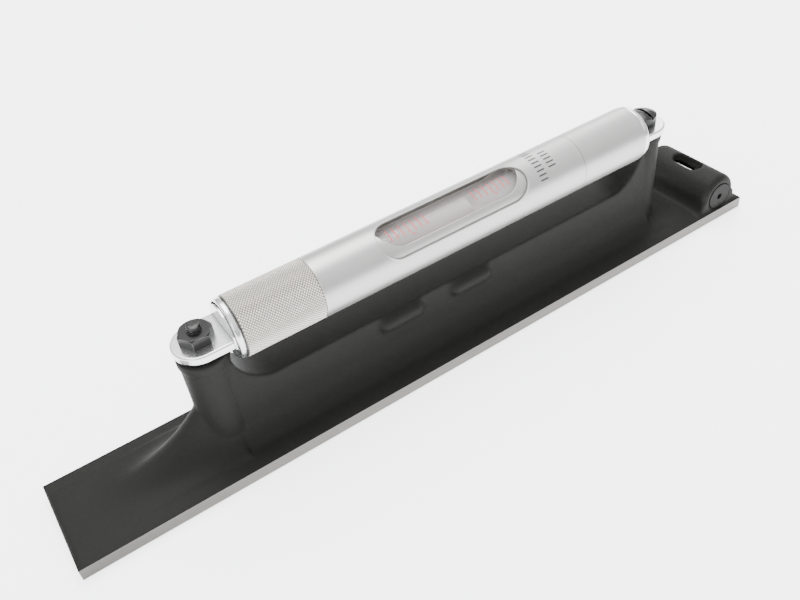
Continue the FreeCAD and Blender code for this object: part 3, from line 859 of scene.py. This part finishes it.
@dataclass
class Sleeve:
    """The turning cover: knurled at its near end, cut open over the vial and marked behind."""

    palette: Palette
    wall: float = 0.55 * MM
    knurl_length: float = 19.5 * MM
    diamonds_round: int = 58
    diamonds_long: int = 28
    knurl_depth: float = KNURL_DEPTH
    rows: int = 144
    column: float = 1.0 * MM
    window_middle: float = 5.2 * MM
    window_length: float = 43.0 * MM
    window_width: float = 10.1 * MM
    window_turn: float = -33.0
    rim: float = 0.2 * MM
    rim_sink: float = 0.14 * MM
    marks_from: float = 29.7 * MM
    mark_rows: tuple[tuple[float, float, int], ...] = ((18.0, -58.0, 9), (-4.0, -40.0, 5))
    mark_size: tuple[float, float] = (2.3 * MM, 0.42 * MM)
    mark_row_pitch: float = 3.6 * MM
    mark_depth: float = 0.01 * MM
    sharp_angle: float = 28.0
    cutter_sides: int = 96
    rim_sides: int = 160
    rim_roundness: int = 3

    def build(self) -> bpy.types.Object:
        """Model and dress the sleeve.

        Returns:
            The finished piece.
        """
        low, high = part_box("cover_sleeve")
        axis = centre_of("vial_tube").z
        marked = Roll(axis, axis - low[2])
        roll = Roll(axis, axis - low[2] - self.mark_depth)
        plain_start = low[0] + self.knurl_length
        plain = roll.patch(
            "sleeve",
            (plain_start, high[0]),
            (0.0, 360.0),
            (round((high[0] - plain_start) / self.column), self.rows),
        )
        roll.shell(plain, self.wall)
        self.open_window(plain, roll)
        knurl = roll.patch(
            "knurl",
            (low[0], plain_start),
            (0.0, 360.0),
            (2 * self.diamonds_long, 2 * self.diamonds_round),
            self.knurl_sink,
        )
        self.split_along_ridges(knurl)
        roll.shell(knurl, self.wall - self.knurl_depth)
        piece = join([plain, knurl, self.window_rim(roll)], "sleeve")
        smooth(piece, self.sharp_angle)
        dress(piece, self.palette.sleeve)
        register(piece, "cover", ("cover_sleeve",))
        self.marks(marked)
        return piece

    def knurl_sink(self, column: int, row: int) -> float:
        """Depth of the knurl: 0 on the diamonds' points and full in the grooves."""
        point = (column + row) % 2 == 1 and 0 < column < 2 * self.diamonds_long
        return 0.0 if point else self.knurl_depth

    def split_along_ridges(self, knurl: bpy.types.Object) -> None:
        """Split the knurl's faces along their raised diagonals.

        Args:
            knurl: The patch with its points already raised.
        """
        pick(knurl)
        bpy.ops.object.mode_set(mode="EDIT")
        bpy.ops.mesh.select_all(action="SELECT")
        bpy.ops.mesh.quads_convert_to_tris(quad_method="SHORTEST_DIAGONAL")
        bpy.ops.object.mode_set(mode="OBJECT")

    def open_window(self, plain: bpy.types.Object, roll: Roll) -> None:
        """Cut the round-ended window.

        Args:
            plain: The plain part of the sleeve.
            roll: The sleeve's outer surface.
        """
        deselect_all()
        bpy.ops.mesh.primitive_cylinder_add(
            vertices=self.cutter_sides,
            radius=self.window_width / 2,
            depth=2 * roll.radius,
            location=(0.0, 0.0, roll.radius),
        )
        cutter = bpy.context.object
        settle(cutter)
        stretch = (self.window_length - self.window_width) / 2
        for vertex in cutter.data.vertices:
            vertex.co.x += math.copysign(stretch, vertex.co.x)
        turn = Matrix.Rotation(-math.radians(self.window_turn), 4, "X")
        cutter.data.transform(Matrix.Translation((self.window_middle, 0.0, roll.axis_z)) @ turn)
        window = plain.modifiers.new("window", "BOOLEAN")
        window.object = cutter
        window.solver = "EXACT"
        apply_modifiers(plain)
        bpy.data.objects.remove(cutter)

    def window_rim(self, roll: Roll) -> bpy.types.Object:
        """Model the window's rounded rim as a wire that follows its outline.

        Args:
            roll: The sleeve's outer surface.

        Returns:
            The closed rim.
        """
        deselect_all()
        bpy.ops.mesh.primitive_circle_add(
            vertices=self.rim_sides, radius=self.window_width / 2, fill_type="NOTHING"
        )
        rim = bpy.context.object
        rim.name = "window_rim"
        stretch = (self.window_length - self.window_width) / 2
        depth = roll.radius - self.rim_sink
        for vertex in rim.data.vertices:
            angle = math.asin(vertex.co.y / roll.radius) + math.radians(self.window_turn)
            x = self.window_middle + vertex.co.x + math.copysign(stretch, vertex.co.x)
            vertex.co = (x, depth * math.sin(angle), roll.axis_z + depth * math.cos(angle))
        pick(rim)
        bpy.ops.object.convert(target="CURVE")
        rim = bpy.context.object
        rim.data.bevel_depth = self.rim
        rim.data.bevel_resolution = self.rim_roundness
        bpy.ops.object.convert(target="MESH")
        return bpy.context.object

    def marks(self, roll: Roll) -> None:
        """Lay two rows of plain engraved ticks round the sleeve.

        Args:
            roll: The sleeve's outer surface.
        """
        length, width = self.mark_size
        reach = math.degrees(width / roll.radius) / 2
        ticks = []
        for index, (first, last, count) in enumerate(self.mark_rows):
            x = self.marks_from + index * self.mark_row_pitch
            for number in range(count):
                angle = first + (last - first) * number / (count - 1)
                tick = roll.patch("tick", (x, x + length), (angle - reach, angle + reach), (2, 3))
                roll.shell(tick, self.mark_depth)
                ticks.append(tick)
        piece = join(ticks, "engraved_ticks")
        dress(piece, self.palette.engraving)
        register(piece, "cover")


@dataclass
class MainVial:
    """Graduated vial with its spirit and bubble."""

    palette: Palette
    line_pitch: float = 1.68 * MM
    lines: int = 7
    group_places: tuple[float, float] = (-6.63 * MM, 17.64 * MM)
    line_width: float = 0.24 * MM
    line_angles: tuple[float, float] = (-33.5, 8.0)
    dot_angles: tuple[float, float] = (-40.0, -35.5)
    dot_shift: float = 0.35
    line_rise: float = 0.02 * MM
    bubble_size: tuple[float, float, float] = (22.5 * MM, 6.2 * MM, 2.6 * MM)
    bubble_turn: float = -14.0
    bubble_gap: float = 1.3 * MM
    glass_wall: float = 1.1 * MM
    bubble_sides: int = 48
    bubble_rings: int = 32

    def build(self) -> list[bpy.types.Object]:
        """Model and dress the vial's lines and its bubble.

        Returns:
            The new pieces.
        """
        low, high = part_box("main_vial_glass")
        axis = centre_of("vial_tube").z
        roll = Roll(axis, axis - low[2] + self.line_rise)
        return [self.graduations(roll), self.bubble(roll, high[0])]

    def graduations(self, roll: Roll) -> bpy.types.Object:
        """Lay both groups of lines and their dots, as one piece.

        Args:
            roll: The surface that carries the lines.

        Returns:
            The lines.
        """
        half = (self.lines - 1) / 2
        strips = []
        for middle in self.group_places:
            for index in range(self.lines):
                x = middle + (index - half) * self.line_pitch
                strips.append(self.strip(roll, x, self.line_width, self.line_angles))
            dot = middle + self.dot_shift * self.line_pitch
            strips.append(self.strip(roll, dot, 2.0 * self.line_width, self.dot_angles))
        piece = join(strips, "graduations")
        dress(piece, self.palette.red)
        register(piece, "tube")
        return piece

    def strip(self, roll: Roll, x: float, width: float, angles: tuple[float, float]) -> bpy.types.Object:
        """Lay one line round part of the glass.

        Args:
            roll: The surface that carries the line.
            x: Middle of the line along the vial.
            width: Width of the line.
            angles: First and last angle from the top, in degrees.

        Returns:
            The line as a thin closed strip.
        """
        piece = roll.patch("line", (x - width / 2, x + width / 2), angles, (1, 14))
        roll.shell(piece, self.line_rise)
        return piece

    def bubble(self, roll: Roll, glass_end: float) -> bpy.types.Object:
        """Model the bubble's skin, which lies against the top of the bore.

        Args:
            roll: The surface that carries the lines.
            glass_end: Far end of the glass.

        Returns:
            The bubble.
        """
        length, width, height = self.bubble_size
        bore = roll.radius - self.glass_wall
        deselect_all()
        bpy.ops.mesh.primitive_uv_sphere_add(
            segments=self.bubble_sides,
            ring_count=self.bubble_rings,
            radius=0.5,
            location=(0.0, 0.0, bore - height / 2),
        )
        piece = bpy.context.object
        piece.name = "bubble"
        piece.scale = (length, width, height)
        settle(piece)
        turn = Matrix.Rotation(-math.radians(self.bubble_turn), 4, "X")
        x = glass_end - self.bubble_gap - length / 2
        piece.data.transform(Matrix.Translation((x, 0.0, roll.axis_z)) @ turn)
        smooth(piece)
        dress(piece, self.palette.bubble)
        register(piece, "tube")
        return piece


@dataclass
class Hardware:
    """Carried-over pieces that keep their own shape and get their finish."""

    palette: Palette

    def build(self) -> None:
        """Dress every node that is shown as it is."""
        finishes = {
            "vial_tube": self.palette.tube,
            "near_end_plug": self.palette.bright,
            "far_end_plug": self.palette.bright,
            # The sleeve washers fill the thin dark gap between plug and sleeve; their black is partly
            # painted shade for that gap.
            "near_sleeve_washer": self.palette.black,
            "far_sleeve_washer": self.palette.black,
            "main_vial_glass": self.palette.glass,
            "main_vial_spirit": self.palette.spirit,
            "near_vial_bedding": self.palette.plaster,
            "far_vial_bedding": self.palette.plaster,
            "adjusting_stud": self.palette.thread,
            "adjusting_nut": self.palette.black,
            "adjusting_spring": self.palette.spring,
            "pivot_screw": self.palette.black,
            "cross_vial_glass": self.palette.milky_glass,
            "cross_vial_spirit": self.palette.spirit,
            "cross_vial_bedding": self.palette.plaster,
            "near_cross_plug": self.palette.casting,
            "far_cross_plug": self.palette.casting,
        }
        for name, material in finishes.items():
            dress(NODES[name], material)
            LOG.info("%s dressed", name)


# ---------------------------------------------------------------- stage
@dataclass(frozen=True)
class Lamp:
    """A soft square light that points at the level, with its side in metres and its power in watts."""

    name: str
    place: tuple[float, float, float]
    size: float
    power: float


@dataclass
class Stage:
    """Pale floor, soft lights and the camera."""

    azimuth: float = -29.18
    elevation: float = 41.0886
    roll: float = 7.2438
    lens_mm: float = 37.387
    sensor_mm: float = 36.0
    place: tuple[float, float, float] = (-85.67 * MM, -135.27 * MM, 152.25 * MM)
    clip_start: float = 0.01
    floor_size: float = 6.0
    floor_drop: float = 0.02 * MM
    floor_colour: tuple[float, float, float, float] = (0.97, 0.975, 0.98, 1.0)
    floor_light: tuple[float, float, float, float] = (0.98, 0.99, 1.0, 1.0)
    floor_glow: float = 2.6
    floor_roughness: float = 0.7
    floor_gloss: float = 0.1
    sky_side: tuple[float, float, float] = (0.50, 0.51, 0.51)
    sky_top: tuple[float, float, float] = (1.85, 1.87, 1.88)
    sky_rise: tuple[float, float] = (-0.1, 0.9)
    lamps: tuple[Lamp, ...] = (
        Lamp("overhead", (0.10, 0.35, 0.90), 0.7, 12.0),
        Lamp("front_left", (-0.80, -0.50, 0.50), 0.4, 3.5),
        Lamp("back_right", (0.70, 0.60, 0.40), 0.4, 2.5),
    )

    def build(self) -> None:
        """Set the floor, the world, the lights and the camera."""
        self.floor()
        self.world()
        for lamp in self.lamps:
            self.light(lamp)
        self.camera()

    def floor(self) -> None:
        """Wide pale floor under the sole."""
        deselect_all()
        bpy.ops.mesh.primitive_plane_add(size=self.floor_size, location=(0.0, 0.0, -self.floor_drop))
        floor = bpy.context.object
        floor.name = "floor"
        settle(floor)
        material = bpy.data.materials.new("pale_floor")
        material.use_nodes = True
        shader = material.node_tree.nodes["Principled BSDF"]
        shader.inputs["Base Color"].default_value = self.floor_colour
        shader.inputs["Emission Color"].default_value = self.floor_light
        shader.inputs["Emission Strength"].default_value = self.floor_glow
        shader.inputs["Roughness"].default_value = self.floor_roughness
        shader.inputs["Specular IOR Level"].default_value = self.floor_gloss
        dress(floor, material)

    def world(self) -> None:
        """White surroundings, brighter overhead than at the sides."""
        world = bpy.data.worlds.new("studio")
        world.use_nodes = True
        graph = Graph(world.node_tree)
        background = world.node_tree.nodes["Background"]
        background.inputs["Strength"].default_value = 1.0
        split = graph.add("ShaderNodeSeparateXYZ")
        graph.link(graph.add("ShaderNodeNewGeometry").outputs["Incoming"], split.inputs[0])
        height = graph.math("MULTIPLY", split.outputs["Z"], -1.0)
        colour = graph.mix_colour(graph.ramp(height, *self.sky_rise), self.sky_side, self.sky_top)
        graph.link(colour, background.inputs["Color"])
        bpy.context.scene.world = world

    def light(self, lamp: Lamp) -> None:
        """Hang one light.

        Args:
            lamp: The light's name, place, size and power.
        """
        data = bpy.data.lights.new(lamp.name, "AREA")
        data.size = lamp.size
        data.energy = lamp.power
        hung = bpy.data.objects.new(lamp.name, data)
        bpy.context.scene.collection.objects.link(hung)
        hung.location = lamp.place
        hung.rotation_euler = (-Vector(lamp.place)).to_track_quat("-Z", "Y").to_euler()

    def camera(self) -> None:
        """Camera at its azimuth, elevation and roll."""
        azimuth = math.radians(self.azimuth)
        elevation = math.radians(self.elevation)
        roll = math.radians(self.roll)
        back = Vector(
            (
                math.sin(azimuth) * math.cos(elevation),
                -math.cos(azimuth) * math.cos(elevation),
                math.sin(elevation),
            )
        )
        right = (-back).cross(UP).normalized()
        down = (-back).cross(right)
        rolled_right = math.cos(roll) * right + math.sin(roll) * down
        rolled_down = -math.sin(roll) * right + math.cos(roll) * down
        data = bpy.data.cameras.new("camera")
        data.lens = self.lens_mm
        data.sensor_width = self.sensor_mm
        data.clip_start = self.clip_start
        camera = bpy.data.objects.new("camera", data)
        bpy.context.scene.collection.objects.link(camera)
        turn = Matrix((rolled_right, -rolled_down, back)).transposed()
        camera.matrix_world = Matrix.Translation(self.place) @ turn.to_4x4()
        bpy.context.scene.camera = camera


def main() -> None:
    """Build the level's looks piece by piece."""
    logging.basicConfig(level=logging.INFO, format="%(name)s: %(message)s")
    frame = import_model()
    NODES.update(frame["nodes"])
    palette = Palette()
    Hardware(palette).build()
    Casting(palette).build()
    Sleeve(palette).build()
    MainVial(palette).build()
    Stage().build()


if __name__ == "__main__":
    main()
